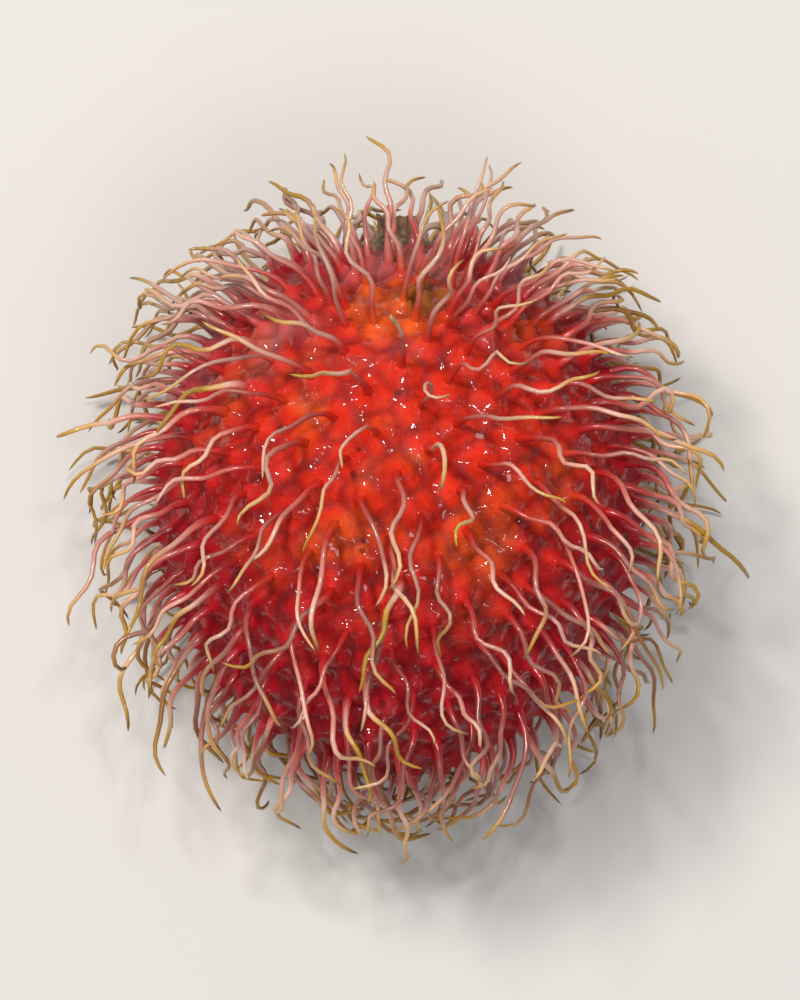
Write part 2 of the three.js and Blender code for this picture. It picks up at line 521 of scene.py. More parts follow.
@dataclass(frozen=True)
class PeelFinish:
    """Fresh rambutan rind: a thin leathery skin with a natural wax, frozen and thawed to a wet shine.

    It gives the eye a deep crimson that turns orange-red round the crown, with orange patches, darker seams
    between the low bumps that the spines grow from, and small wet glints on the upper side. Its pores are
    finer on a real one, and are drawn as coarse as they need to show.

    Attributes:
        crimson: The rind on the sides.
        flame: The rind round the crown.
        orange: Unripe patches in it.
        maroon: The rind low down, as its own darker colour and as painted shade, and in its darkest mottles.
        speck: Small dark specks: partly dried marks, partly painted shade like the shadows at the spines'
            feet.
        seam: The grooves between the bumps.
        scar: The dried point at the blossom end.
        frost: The pale haze at the stalk end.
        spots: The unripe spot beside the crown, and its olive-brown heart.
        spot_border: Width of a spot's soft border.
        spot_wander: How far the border wanders, at most.
        spot_share: How fully a spot covers the rind.
        flame_back: How far the flame's middle lies from the crown towards the blossom end.
        flame_fade: Distances from there between which the flame fades out, with the wander.
        flame_wander: How far its border wanders, at most.
        wander_size: Distance over which it does.
        patch_size: Width of an orange patch.
        patch_levels: Levels of its noise between which a patch sets in.
        patch_share: How fully a patch covers the flame.
        patch_beyond: Share of that which is left beyond the flame.
        shade_heights: Heights between which the maroon, a darker rind and painted shade, sets in low down.
        shade_share: How fully it covers the rind there.
        mottle_size: Width of a mottle.
        mottle_levels: Levels of its noise between which a mottle sets in.
        mottle_share: How fully a mottle covers the rind.
        mottle_depth: Its relief.
        speck_gap: Distance between the specks.
        speck_edge: A speck's border, as shares of that distance.
        speck_share: How fully a speck covers the rind.
        seam_share: How fully a seam does.
        foot_levels: Shares of a bump between which it takes the plain main colour.
        pore_size: Distance between the pores.
        pore_depth: Their relief.
        bead_size: Distance between the beads of moisture.
        bead_levels: Levels of their noise between which a bead sets in.
        bead_depth: Their relief.
        damp_heights: Heights between which the moisture sets in.
        rough: The least and the greatest roughness.
    """

    crimson: str = "AE1120"
    flame: str = "DC2E18"
    orange: str = "DC5C1C"
    maroon: str = "5E0E16"
    speck: str = "4E1A10"
    seam: str = "5A0B12"
    scar: str = "4A2A1A"
    frost: str = "A67F82"
    spots: tuple[Spot, ...] = (
        Spot("E8601E", (-0.2, 16.0, 30.1), 6.6),
        Spot("86591C", (2.0, 16.9, 29.5), 4.9),
    )
    spot_border: float = 2.0
    spot_wander: float = 4.0
    spot_share: float = 0.85
    flame_back: float = 4.0
    flame_fade: Band = (12.0, 30.0)
    flame_wander: float = 12.0
    wander_size: float = 8.0
    patch_size: float = 6.0
    patch_levels: Band = (0.53, 0.66)
    patch_share: float = 0.7
    patch_beyond: float = 0.05
    shade_heights: Band = (23.0, 3.0)
    shade_share: float = 0.65
    mottle_size: float = 2.2
    mottle_levels: Band = (0.46, 0.70)
    mottle_share: float = 0.6
    mottle_depth: float = 0.4
    speck_gap: float = 3.0
    speck_edge: Band = (0.12, 0.06)
    speck_share: float = 0.7
    seam_share: float = 0.5
    foot_levels: Band = (0.1, 0.8)
    pore_size: float = 0.35
    pore_depth: float = 0.18
    bead_size: float = 1.1
    bead_levels: Band = (0.48, 0.56)
    bead_depth: float = 0.7
    damp_heights: Band = (19.0, 30.0)
    rough: Band = (0.36, 0.6)

    def ground(
        self, tree: bpy.types.NodeTree, place: bpy.types.NodeSocket, shape: FruitShape
    ) -> bpy.types.NodeSocket:
        """Adds the rind's main colour.

        It is crimson, with flame round the crown, orange patches, maroon low down, which is partly painted
        shade, and then the spots, each laid over what comes before it.

        Args:
            tree: The material's tree.
            place: Object coordinates.
            shape: The fruit, for the place of its crown.

        Returns:
            The colour's socket.
        """
        middle = shape.surface(unit(np.array(shape.crown))) - [0.0, self.flame_back, 0.0]
        away = add(tree, "VectorMath", {0: place, 1: tuple(METRES * middle)}, operation="DISTANCE")
        drift = add(tree, "TexNoise", {
            "Vector": place, "Scale": 1 / (self.wander_size * METRES), "Detail": 3.0,
        })
        wandered = add(tree, "Math", {
            0: drift.outputs["Fac"], 1: self.flame_wander * METRES, 2: away.outputs["Value"],
        }, operation="MULTIPLY_ADD")
        flame = add(tree, "MapRange", {
            "Value": wandered.outputs[0], "From Min": self.flame_fade[0] * METRES,
            "From Max": self.flame_fade[1] * METRES, "To Min": 1.0, "To Max": 0.0,
        }, interpolation_type="SMOOTHSTEP")
        patches = add(tree, "TexNoise", {
            "Vector": place, "Scale": 1 / (self.patch_size * METRES), "Detail": 2.0, "Roughness": 0.45,
        })
        patch = add(tree, "MapRange", {
            "Value": patches.outputs["Fac"], "From Min": self.patch_levels[0],
            "From Max": self.patch_levels[1], "To Max": self.patch_share,
        })
        near = add(tree, "MapRange", {"Value": flame.outputs[0], "To Min": self.patch_beyond, "To Max": 1.0})
        patched = add(tree, "Math", {0: patch.outputs[0], 1: near.outputs[0]}, operation="MULTIPLY")
        height = add(tree, "SeparateXYZ", {0: place})
        # Painted shade: the rind turns maroon low down, partly its own darker colour and partly shade painted
        # in
        shade = add(tree, "MapRange", {
            "Value": height.outputs["Z"], "From Min": self.shade_heights[0] * METRES,
            "From Max": self.shade_heights[1] * METRES, "To Max": self.shade_share,
        }, interpolation_type="SMOOTHSTEP")
        layers = [(flame, self.flame), (patched, self.orange), (shade, self.maroon)]
        mottles = add(tree, "TexNoise", {
            "Vector": place, "Scale": 1 / (self.mottle_size * METRES), "Detail": 2.0,
        })
        for spot in self.spots:
            far = add(tree, "VectorMath", {
                0: place, 1: tuple(METRES * np.array(spot.place)),
            }, operation="DISTANCE")
            uneven = add(tree, "Math", {
                0: mottles.outputs["Fac"], 1: self.spot_wander * METRES, 2: far.outputs["Value"],
            }, operation="MULTIPLY_ADD")
            inside = add(tree, "MapRange", {
                "Value": uneven.outputs[0], "From Min": spot.reach * METRES,
                "From Max": (spot.reach - self.spot_border) * METRES, "To Max": self.spot_share,
            }, interpolation_type="SMOOTHSTEP")
            layers.append((inside, spot.colour))
        colour = linear(self.crimson)
        for share, code in layers:
            layer = add(tree, "Mix", {
                "Factor": share.outputs[0], "A": colour, "B": linear(code),
            }, data_type="RGBA")
            colour = layer.outputs["Result"]
        return colour

    def marked(
        self,
        tree: bpy.types.NodeTree,
        place: bpy.types.NodeSocket,
        mottles: bpy.types.NodeSocket,
        ground: bpy.types.NodeSocket,
    ) -> bpy.types.NodeSocket:
        """Adds the marks over the main colour: mottles, specks, seams, clean bumps, the scar and the haze.

        Args:
            tree: The material's tree.
            place: Object coordinates.
            mottles: The mottles' noise.
            ground: The main colour.

        Returns:
            The colour's socket.
        """
        seam, foot, scar, frost = (
            add(tree, "Attribute", attribute_name=name).outputs["Fac"]
            for name in ("seam", "foot", "scar", "frost")
        )
        mottle = add(tree, "MapRange", {
            "Value": mottles, "From Min": self.mottle_levels[0],
            "From Max": self.mottle_levels[1], "To Max": self.mottle_share,
        })
        # Dark specks: partly dried marks, partly painted shade in place of small shadows at the spines' feet
        cells = add(tree, "TexVoronoi", {"Vector": place, "Scale": 1 / (self.speck_gap * METRES)})
        speck = add(tree, "MapRange", {
            "Value": cells.outputs["Distance"], "From Min": self.speck_edge[0],
            "From Max": self.speck_edge[1], "To Max": self.speck_share,
        })
        seamed = add(tree, "Math", {0: seam, 1: self.seam_share}, operation="MULTIPLY")
        footed = add(tree, "MapRange", {
            "Value": foot, "From Min": self.foot_levels[0], "From Max": self.foot_levels[1],
        })
        layers = (
            (mottle.outputs[0], linear(self.maroon)),
            (speck.outputs[0], linear(self.speck)),
            (seamed.outputs[0], linear(self.seam)),
            (footed.outputs[0], ground),
            (scar, linear(self.scar)),
            (frost, linear(self.frost)),
        )
        colour = ground
        for share, over in layers:
            layer = add(tree, "Mix", {"Factor": share, "A": colour, "B": over}, data_type="RGBA")
            colour = layer.outputs["Result"]
        return colour

    def moisture(
        self, tree: bpy.types.NodeTree, place: bpy.types.NodeSocket
    ) -> tuple[bpy.types.NodeSocket, bpy.types.NodeSocket]:
        """Adds the beads of moisture, which only lie on the upper side.

        Args:
            tree: The material's tree.
            place: Object coordinates.

        Returns:
            The share of wet rind, and the beads' own normal.
        """
        beads = add(tree, "TexNoise", {
            "Vector": place, "Scale": 1 / (self.bead_size * METRES), "Detail": 0.0,
        })
        bead = add(tree, "MapRange", {
            "Value": beads.outputs["Fac"], "From Min": self.bead_levels[0], "From Max": self.bead_levels[1],
        }, interpolation_type="SMOOTHSTEP")
        height = add(tree, "SeparateXYZ", {0: place})
        damp = add(tree, "MapRange", {
            "Value": height.outputs["Z"], "From Min": self.damp_heights[0] * METRES,
            "From Max": self.damp_heights[1] * METRES,
        }, interpolation_type="SMOOTHSTEP")
        film = add(tree, "Math", {0: bead.outputs[0], 1: damp.outputs[0]}, operation="MULTIPLY")
        wet = add(tree, "Bump", {
            "Height": beads.outputs["Fac"], "Strength": 1.0, "Distance": self.bead_depth * METRES,
        })
        return film.outputs[0], wet.outputs["Normal"]

    def material(self, shape: FruitShape) -> bpy.types.Material:
        """Builds the rind's material.

        Args:
            shape: The fruit, for the place of its crown.

        Returns:
            The material.
        """
        made, tree = empty_material("rambutan_rind")
        place = add(tree, "TexCoord").outputs["Object"]
        mottles = add(tree, "TexNoise", {
            "Vector": place, "Scale": 1 / (self.mottle_size * METRES), "Detail": 4.0, "Roughness": 0.6,
        }).outputs["Fac"]
        colour = self.marked(tree, place, mottles, self.ground(tree, place, shape))
        film, wet = self.moisture(tree, place)
        pores = add(tree, "TexNoise", {
            "Vector": place, "Scale": 1 / (self.pore_size * METRES), "Detail": 3.0, "Roughness": 0.6,
        })
        fine = add(tree, "Bump", {
            "Height": pores.outputs["Fac"], "Strength": 0.6, "Distance": self.pore_depth * METRES,
        })
        coarse = add(tree, "Bump", {
            "Height": mottles, "Strength": 0.45, "Distance": self.mottle_depth * METRES,
            "Normal": fine.outputs["Normal"],
        })
        rough = add(tree, "MapRange", {
            "Value": mottles, "To Min": self.rough[0], "To Max": self.rough[1],
        })
        skin = add(tree, "BsdfPrincipled", {
            "Base Color": colour,
            "Roughness": rough.outputs[0],
            "IOR": 1.4,
            "Specular IOR Level": 0.15,
            "Coat Weight": film,
            "Coat Roughness": 0.05,
            "Coat IOR": 1.45,
            "Coat Normal": wet,
            "Normal": coarse.outputs["Normal"],
        })
        add(tree, "OutputMaterial", {"Surface": skin.outputs["BSDF"]})
        return made


@dataclass(frozen=True)
class SpineFinish:
    """Soft rambutan spines: fleshy hairs of the rind, half see-through, that dry from their tips.

    They give the eye a red foot, a dusty rose to cream shaft with a wet shine, and an ochre tip that has
    dried to brown at its very end. Spines low on the fruit turn ochre sooner, and a few are golden all along.

    Attributes:
        stops: The colour by age, from a fresh foot at 0 to a dry tip at 1.
        point: The dried point of a spine.
        dull: What some of the spines are darker with.
        frost: The pale haze on the spines at the stalk end.
        fleck_size: Length of the light and dark flecks on a spine.
        fleck_age: Age that they add or take, at most.
        skin_depth: Their relief.
        risen: Ages between which the rind's colour gives way to the spine's own.
        rough: The roughness at the foot and at the tip.
        pace: The age at the tip of a usual spine, high on the fruit.
        pace_spread: How much more or less it is on some.
        pace_low: How much more it is low on the fruit.
        low_heights: Heights between which that comes to an end.
        golden: Draws between which up to 1 is added to it, so that a few spines are golden all along.
        oldest: The greatest age.
        point_along: Shares of the way between which the dried point sets in.
        point_draws: Draws between which a spine has one.
        dull_share: How dull a dull spine is, on the upper side and at the blossom end.
        dull_down: Places from the middle towards the blossom end between which that grows.
        dull_more: How much more often spines are dull there.
        dull_draws: Draws between which a spine is dull.
        dull_start: Shares of the way between which it grows dull.
        dull_end: Shares of the way between which that ends.
        haze_share: How much of the haze a spine takes at its foot and on its shaft.
        haze_foot: Shares of the way between which the foot's share turns to the shaft's.
        haze_off: How much of it the tip stays clear of.
        haze_tip: Shares of the way between which the tip sets in.
    """

    stops: dict[float, str] = field(default_factory=lambda: {
        0.0: "A3161C",
        0.12: "AE2C2A",
        0.26: "CE7062",
        0.46: "ECBBA6",
        0.62: "E0B070",
        0.80: "C29224",
        1.0: "9E7A1E",
    })
    point: str = "47301A"
    dull: str = "7C3A34"
    frost: str = "BC988C"
    fleck_size: float = 1.4
    fleck_age: float = 0.09
    skin_depth: float = 0.2
    risen: Band = (0.03, 0.22)
    rough: Band = (0.34, 0.6)
    pace: float = 0.76
    pace_spread: float = 0.2
    pace_low: float = 0.62
    low_heights: Band = (8.0, 30.0)
    golden: Band = (0.72, 0.95)
    oldest: float = 0.92
    point_along: Band = (0.86, 1.0)
    point_draws: Band = (-0.6, 0.8)
    dull_share: Band = (0.45, 0.75)
    dull_down: Band = (0.0, 14.0)
    dull_more: float = 0.5
    dull_draws: Band = (-0.2, 1.0)
    dull_start: Band = (0.1, 0.3)
    dull_end: Band = (0.6, 0.9)
    haze_share: Band = (0.36, 0.72)
    haze_foot: Band = (0.05, 0.35)
    haze_off: float = 0.75
    haze_tip: Band = (0.55, 0.9)

    def ages(self, points: Array, along: Array, draw: Array) -> Array:
        """Works out the age of points on the spines, which sets their colour.

        It is the share of the way along the spine times the spine's pace, up to the greatest age. The pace
        is more on some spines than on others, more low on the fruit, and more than double on a few.

        Args:
            points: Points on the spines.
            along: Their shares of the way along the spine.
            draw: A random number from -1 to 1 for each, the same all along a spine.

        Returns:
            The age of each point.
        """
        low = 1 - smooth(points[:, 2], *self.low_heights)
        pace = self.pace + self.pace_spread * draw + self.pace_low * low + smooth(draw, *self.golden)
        return np.clip(along * pace, 0, self.oldest)

    def dried(self, along: Array, draw: Array) -> Array:
        """The share of the dried point's colour: only near the tip, and only on some spines."""
        return smooth(along, *self.point_along) * smooth(draw, *self.point_draws)

    def dullness(self, points: Array, along: Array, draw: Array) -> Array:
        """Works out how dull points on the spines are.

        Some spines are dull between foot and tip, and towards the blossom end more of them are, and more so.

        Args:
            points: Points on the spines.
            along: Their shares of the way along the spine.
            draw: A random number from -1 to 1 for each, the same all along a spine.

        Returns:
            The share of the dull colour at each point.
        """
        down = smooth(-points[:, 1], *self.dull_down)
        chosen = smooth(draw + self.dull_more * down, *self.dull_draws)
        between = smooth(along, *self.dull_start) * (1 - smooth(along, *self.dull_end))
        return mix(*self.dull_share, down) * chosen * between

    def hazed(self, along: Array) -> Array:
        """The share of the haze that a spine takes: less at its foot, and little at its tip."""
        shaft = mix(*self.haze_share, smooth(along, *self.haze_foot))
        return shaft * (1 - self.haze_off * smooth(along, *self.haze_tip))

    def material(self, rind: PeelFinish, shape: FruitShape) -> bpy.types.Material:
        """Builds the spines' material.

        Args:
            rind: The peel's finish, whose colour the spines' feet take.
            shape: The fruit.

        Returns:
            The material.
        """
        made, tree = empty_material("rambutan_spine_flesh")
        place = add(tree, "TexCoord").outputs["Object"]
        age, point, dull, frost = (
            add(tree, "Attribute", attribute_name=name).outputs["Fac"]
            for name in ("age", "point", "dull", "frost")
        )
        flecks = add(tree, "TexNoise", {
            "Vector": place, "Scale": 1 / (self.fleck_size * METRES), "Detail": 3.0, "Roughness": 0.6,
        })
        fleck = add(tree, "MapRange", {
            "Value": flecks.outputs["Fac"], "To Min": -self.fleck_age, "To Max": self.fleck_age,
        })
        drawn = add(tree, "Math", {0: age, 1: fleck.outputs[0]}, operation="ADD", use_clamp=True)
        shaft = add(tree, "ValToRGB", {"Fac": drawn.outputs[0]}, stops=self.stops)
        risen = add(tree, "MapRange", {"Value": age, "From Min": self.risen[0], "From Max": self.risen[1]})
        layers = (
            (risen.outputs[0], shaft.outputs["Color"]),
            (point, linear(self.point)),
            (dull, linear(self.dull)),
            (frost, linear(self.frost)),
        )
        # The feet start from the rind's main colour, with its maroon low down that is partly painted shade
        colour = rind.ground(tree, place, shape)
        for share, over in layers:
            layer = add(tree, "Mix", {"Factor": share, "A": colour, "B": over}, data_type="RGBA")
            colour = layer.outputs["Result"]
        skin = add(tree, "Bump", {
            "Height": flecks.outputs["Fac"], "Strength": 0.3, "Distance": self.skin_depth * METRES,
        })
        rough = add(tree, "MapRange", {"Value": age, "To Min": self.rough[0], "To Max": self.rough[1]})
        flesh = add(tree, "BsdfPrincipled", {
            "Base Color": colour,
            "Roughness": rough.outputs[0],
            "IOR": 1.45,
            "Coat Weight": 0.6,
            "Coat Roughness": 0.1,
            "Subsurface Weight": 0.12,
            "Subsurface Radius": (1.0, 0.45, 0.25),
            "Subsurface Scale": 0.5 * METRES,
            "Normal": skin.outputs["Normal"],
        })
        add(tree, "OutputMaterial", {"Surface": flesh.outputs["BSDF"]})
        return made


@dataclass(frozen=True)
class BarkFinish:
    """Dry rambutan stalk: a thin rough bark round a pale woody core.

    It gives the eye a matt grey-brown with fine cracks along the stalk, and a lighter fibrous broken end.

    Attributes:
        bark: The bark's usual colour.
        crack: Its cracks and pores.
        core: The wood of the broken end.
        crack_gap: Distance between the cracks.
        crack_stretch: One over how much longer than wide they are.
        crack_levels: Levels of their noise between which a crack comes to an end.
        crack_depth: Their relief.
    """

    bark: str = "9A7F62"
    crack: str = "563E2A"
    core: str = "B08F66"
    crack_gap: float = 0.5
    crack_stretch: float = 0.3
    crack_levels: Band = (0.36, 0.62)
    crack_depth: float = 0.3

    def material(self) -> bpy.types.Material:
        """Builds the bark's material.

        Returns:
            The material.
        """
        made, tree = empty_material("rambutan_stalk_bark")
        place = add(tree, "TexCoord").outputs["Object"]
        along = add(tree, "Mapping", {"Vector": place, "Scale": (1.0, self.crack_stretch, 1.0)})
        cracks = add(tree, "TexNoise", {
            "Vector": along.outputs[0], "Scale": 1 / (self.crack_gap * METRES), "Detail": 4.0,
            "Roughness": 0.65,
        })
        whole = add(tree, "MapRange", {
            "Value": cracks.outputs["Fac"], "From Min": self.crack_levels[0],
            "From Max": self.crack_levels[1],
        })
        core = add(tree, "Attribute", attribute_name="core")
        wood = add(tree, "Math", {0: core.outputs["Fac"], 1: whole.outputs[0]}, operation="MULTIPLY")
        colour = linear(self.crack)
        for share, code in ((whole, self.bark), (wood, self.core)):
            layer = add(tree, "Mix", {
                "Factor": share.outputs[0], "A": colour, "B": linear(code),
            }, data_type="RGBA")
            colour = layer.outputs["Result"]
        bump = add(tree, "Bump", {
            "Height": cracks.outputs["Fac"], "Strength": 0.7, "Distance": self.crack_depth * METRES,
        })
        bark = add(tree, "BsdfPrincipled", {
            "Base Color": colour,
            "Roughness": 0.82,
            "IOR": 1.5,
            "Normal": bump.outputs["Normal"],
        })
        add(tree, "OutputMaterial", {"Surface": bark.outputs["BSDF"]})
        return made


@dataclass
class Peel:
    """The rind, with a low bump at the foot of each spine and fine seams between the bumps.

    Attributes:
        shape: The fruit.
        places: Where the spines stand.
        finish: What it is made of.
        haze: The haze on it.
        haze_share: How much of the haze it takes.
        rows: Rings of points from the stalk end to the blossom end.
        columns: Points in each ring.
        foot_height: Height of the bump that a spine grows from.
        foot_reach: Distance over which the bump falls to about a third.
        dome_height: Height of the wider swelling round the bump.
        dome_reach: Distance over which the swelling falls to about a third.
        seam_depth: Depth of the seams between the bumps.
        seam_spread: Share by which the seams are deeper and shallower.
        seam_width: Distance over which a seam falls to about a third.
        swell: Height of the wide uneven swellings of the rind.
        swell_size: Distance between them.
        dent: Depth of the small dents between the spines.
        dent_size: Distance between them.
        wrinkle: Height of the small wrinkles.
        wrinkle_size: Distance between them.
        sunk: How deep the ground between the bumps lies under the frame's form.
        scar_height: Height of the dried point at the blossom end.
        scar_reach: Distance over which it falls to about a third.
        lifted: Heights over the table between which all of this relief sets in.
    """

    shape: FruitShape
    places: SpinePlaces
    finish: PeelFinish
    haze: Haze
    haze_share: float = 0.36
    rows: int = 238
    columns: int = 400
    foot_height: float = 0.75
    foot_reach: float = 0.72
    dome_height: float = 0.12
    dome_reach: float = 1.6
    seam_depth: float = 0.09
    seam_spread: float = 0.5
    seam_width: float = 0.75
    swell: float = 0.16
    swell_size: float = 9.0
    dent: float = 0.09
    dent_size: float = 3.2
    wrinkle: float = 0.045
    wrinkle_size: float = 1.2
    sunk: float = 0.12
    scar_height: float = 0.6
    scar_reach: float = 0.8
    lifted: Band = (0.0, 2.0)

    def directions(self) -> Array:
        """Lays out the grid of directions, ring by ring, with one more at each end.

        The angle from the stalk end runs in even steps down the rows, and the turn about the stalk axis in
        even steps round the columns.

        Returns:
            Directions of the grid's points, then of the stalk end and the blossom end.
        """
        down = (np.arange(self.rows) + 0.5) / self.rows * math.pi
        down, turn = np.meshgrid(down, turns(self.columns), indexing="ij")
        grid = np.stack([np.sin(down) * np.cos(turn), np.cos(down), np.sin(down) * np.sin(turn)], axis=-1)
        return np.concatenate([grid.reshape(-1, 3), [[0, 1, 0], [0, -1, 0]]])

    def nearest(self, points: Array) -> tuple[Array, Array]:
        """Finds the distances from points on the peel to the two nearest spines.

        Args:
            points: Points on the peel.

        Returns:
            The distance to the nearest root, and to the next.
        """
        roots = self.shape.surface(self.places.every()[1])
        near = []
        # One ring or so at a time, because all distances at once would fill the memory
        for group in np.array_split(points, self.rows):
            gaps = np.linalg.norm(group[:, None] - roots[None], axis=-1)
            near.append(np.partition(gaps, 1, axis=-1)[:, :2])
        first, second = np.concatenate(near).T
        return first, second

    def build(self) -> bpy.types.Object:
        """Builds the rind.

        A point is lifted along the normal by its bump and the dome round it, by the scar, and by swellings,
        dents and wrinkles from random fields, less its seam and the depth of the ground. The lift fades out
        at the flat spot, where no point goes below the table.

        Returns:
            The piece.
        """
        directions = self.directions()
        base, normal = self.shape.surface(directions), self.shape.normals(directions)
        first, second = self.nearest(base)
        foot = bell(first, self.foot_reach)
        seam = bell(second - first, self.seam_width)
        blossom_end = self.shape.surface(np.array([0.0, -1.0, 0.0]))
        scar = bell(np.linalg.norm(base - blossom_end, axis=-1), self.scar_reach)
        uneven = 1 + self.seam_spread * waves(base, self.dent_size, Pattern.SEAMS)
        lift = (
            self.foot_height * foot
            + self.dome_height * bell(first, self.dome_reach)
            - self.seam_depth * seam * uneven
            + self.dent * waves(base, self.dent_size, Pattern.DENTS)
            + self.swell * waves(base, self.swell_size, Pattern.SWELLINGS)
            + self.wrinkle * waves(base, self.wrinkle_size, Pattern.WRINKLES)
            + self.scar_height * scar
            - self.sunk
        )
        lift *= smooth(base[:, 2], *self.lifted)
        points = base + normal * lift[:, None]
        points[:, 2] = np.maximum(points[:, 2], 0.0)
        faces = closed_tube(self.rows, self.columns)
        values = {"foot": foot, "seam": seam, "scar": scar, "frost": self.haze_share * self.haze.at(points)}
        material = self.finish.material(self.shape)
        return piece("rambutan_peel", points, faces, values, material)


@dataclass
class Spines:
    """All spines of the fruit, as closed tubes that follow the frame's spines and wave more finely.

    Attributes:
        shape: The fruit.
        places: Where the spines stand.
        rind: The peel's finish.
        haze: The haze on them.
        finish: What they are made of.
        length: Of a usual spine.
        length_spread: Share by which spines are longer or shorter.
        end_shorter: Share by which the spines at the two ends are shorter.
        foot_radius: At the peel.
        shaft_radius: Where the shaft leaves the foot.
        tip_radius: Just before the point.
        tip_power: The higher, the shorter is the rounded point.
        foot_share: Share of the length over which the foot falls to about a third.
        girth_spread: Share by which spines are thicker or thinner.
        crown_reach: Distance over which the lean grows from the crown, in halves of the peel.
        sweep_to_blossom: How much the spines sweep towards the blossom end.
        turn: Heights between which they stop lying outwards, as shares of half the peel's height.
        lean_root: Lean from upright at the root, in degrees.
        lean_tip: Lean at the tip.
        lean_crown: Lean at the tips of the spines at the crown.
        lean_low: Lean at the tips of the lowest spines.
        lean_spread: Scatter of the lean, doubled at the tip.
        aside_spread: Degrees that a lean is turned aside, at most.
        root_share: Share of the length over which a spine takes its lean at the root.
        bend_power: The rest of the bend grows with this power of the length.
        curl: Sideways waves as long as the spine, in radians.
        curl_waves: How many of them run along one spine.
        ripple: Short waves, in radians.
        ripple_waves: How many of them run along one spine.
        ripple_spread: Share by which a spine has more or fewer of them.
        ripple_aside: The short waves sideways are this many times as many as those of the lean.
        loose: Shares of the length between which the short waves set in.
        hook: Turn of a hooked tip, in radians.
        hooked: Shares of the length between which the hook sets in.
        steps: Steps that a line is worked out in.
        eased: How often a line is eased.
        ring_step: Steps from one ring of a tube to the next.
        sides: Of a tube.
        root_depth: How deep a tube starts under the peel.
        hub_depth: How deep its closing point lies.
        table_gap: A spine that is pressed flat by the table stays this far above it.
        splay: How strongly the table turns such a spine outwards.
        peel_gap: Room between a spine that lies along the peel and the peel.
    """

    shape: FruitShape
    places: SpinePlaces
    rind: PeelFinish
    haze: Haze
    finish: SpineFinish = field(default_factory=SpineFinish)
    length: float = 12.4
    length_spread: float = 0.2
    end_shorter: float = 0.16
    foot_radius: float = 0.48
    shaft_radius: float = 0.25
    tip_radius: float = 0.15
    foot_share: float = 0.12
    tip_power: float = 14.0
    girth_spread: float = 0.18
    crown_reach: float = 0.8
    sweep_to_blossom: float = 0.35
    turn: Band = (-0.85, -0.35)
    lean_root: float = 40.0
    lean_tip: float = 108.0
    lean_crown: float = 38.0
    lean_low: float = 70.0
    lean_spread: float = 12.0
    aside_spread: float = 40.0
    root_share: float = 0.25
    bend_power: float = 1.6
    curl: float = 0.42
    curl_waves: float = 0.8
    ripple: float = 0.78
    ripple_waves: float = 2.1
    ripple_spread: float = 0.25
    ripple_aside: float = 1.15
    loose: Band = (0.05, 0.5)
    hook: float = 1.3
    hooked: Band = (0.72, 1.0)
    steps: int = 28
    eased: int = 2
    ring_step: int = 2
    sides: int = 5
    root_depth: float = 0.5
    hub_depth: float = 0.75
    table_gap: float = 0.06
    splay: float = 0.6
    peel_gap: float = 0.12

    def radius(self, along: Any) -> Any:
        """Works out the radius along a spine.

        It is a straight taper plus a foot that falls off as a bell curve, times the square root of 1 less a
        high power of the share, which rounds the tip.

        Args:
            along: Shares of the way along the spine.

        Returns:
            The radius there.
        """
        taper = mix(self.shaft_radius, self.tip_radius, along)
        foot = (self.foot_radius - self.shaft_radius) * bell(along, self.foot_share)
        return (taper + foot) * np.sqrt(1 - along**self.tip_power)

    def lean(self, direction: Array, normal: Array) -> tuple[Array, Array, Array]:
        """Works out how spines lean over the peel, before any scatter.

        The way is the part along the peel of the direction away from the crown, with a share towards the
        blossom end, and low down the part of the direction away from the table. The angles grow with the
        distance from the crown.

        Args:
            direction: Directions of the roots from the centre.
            normal: The peel's normals there.

        Returns:
            The way of each lean, and its angles at the root and at the tip, in degrees.
        """
        crown_way = direction - np.array(self.shape.crown)
        far = np.linalg.norm(crown_way, axis=-1)
        opened = smooth(far, 0.0, self.crown_reach)
        crown_way = crown_way - np.outer(far, [0.0, self.sweep_to_blossom, 0.0])
        upper = smooth(direction[:, 2], *self.turn)
        table_way = direction + np.array([0.0, 0.0, 1.0])
        way = unit(across(crown_way, normal)) * upper[:, None]
        way = way + unit(across(table_way, normal)) * (1 - upper)[:, None]
        full = np.linalg.norm(way, axis=-1)
        tip = mix(self.lean_low, mix(self.lean_crown, self.lean_tip, opened), upper)
        return unit(way), self.lean_root * opened * full, tip * full

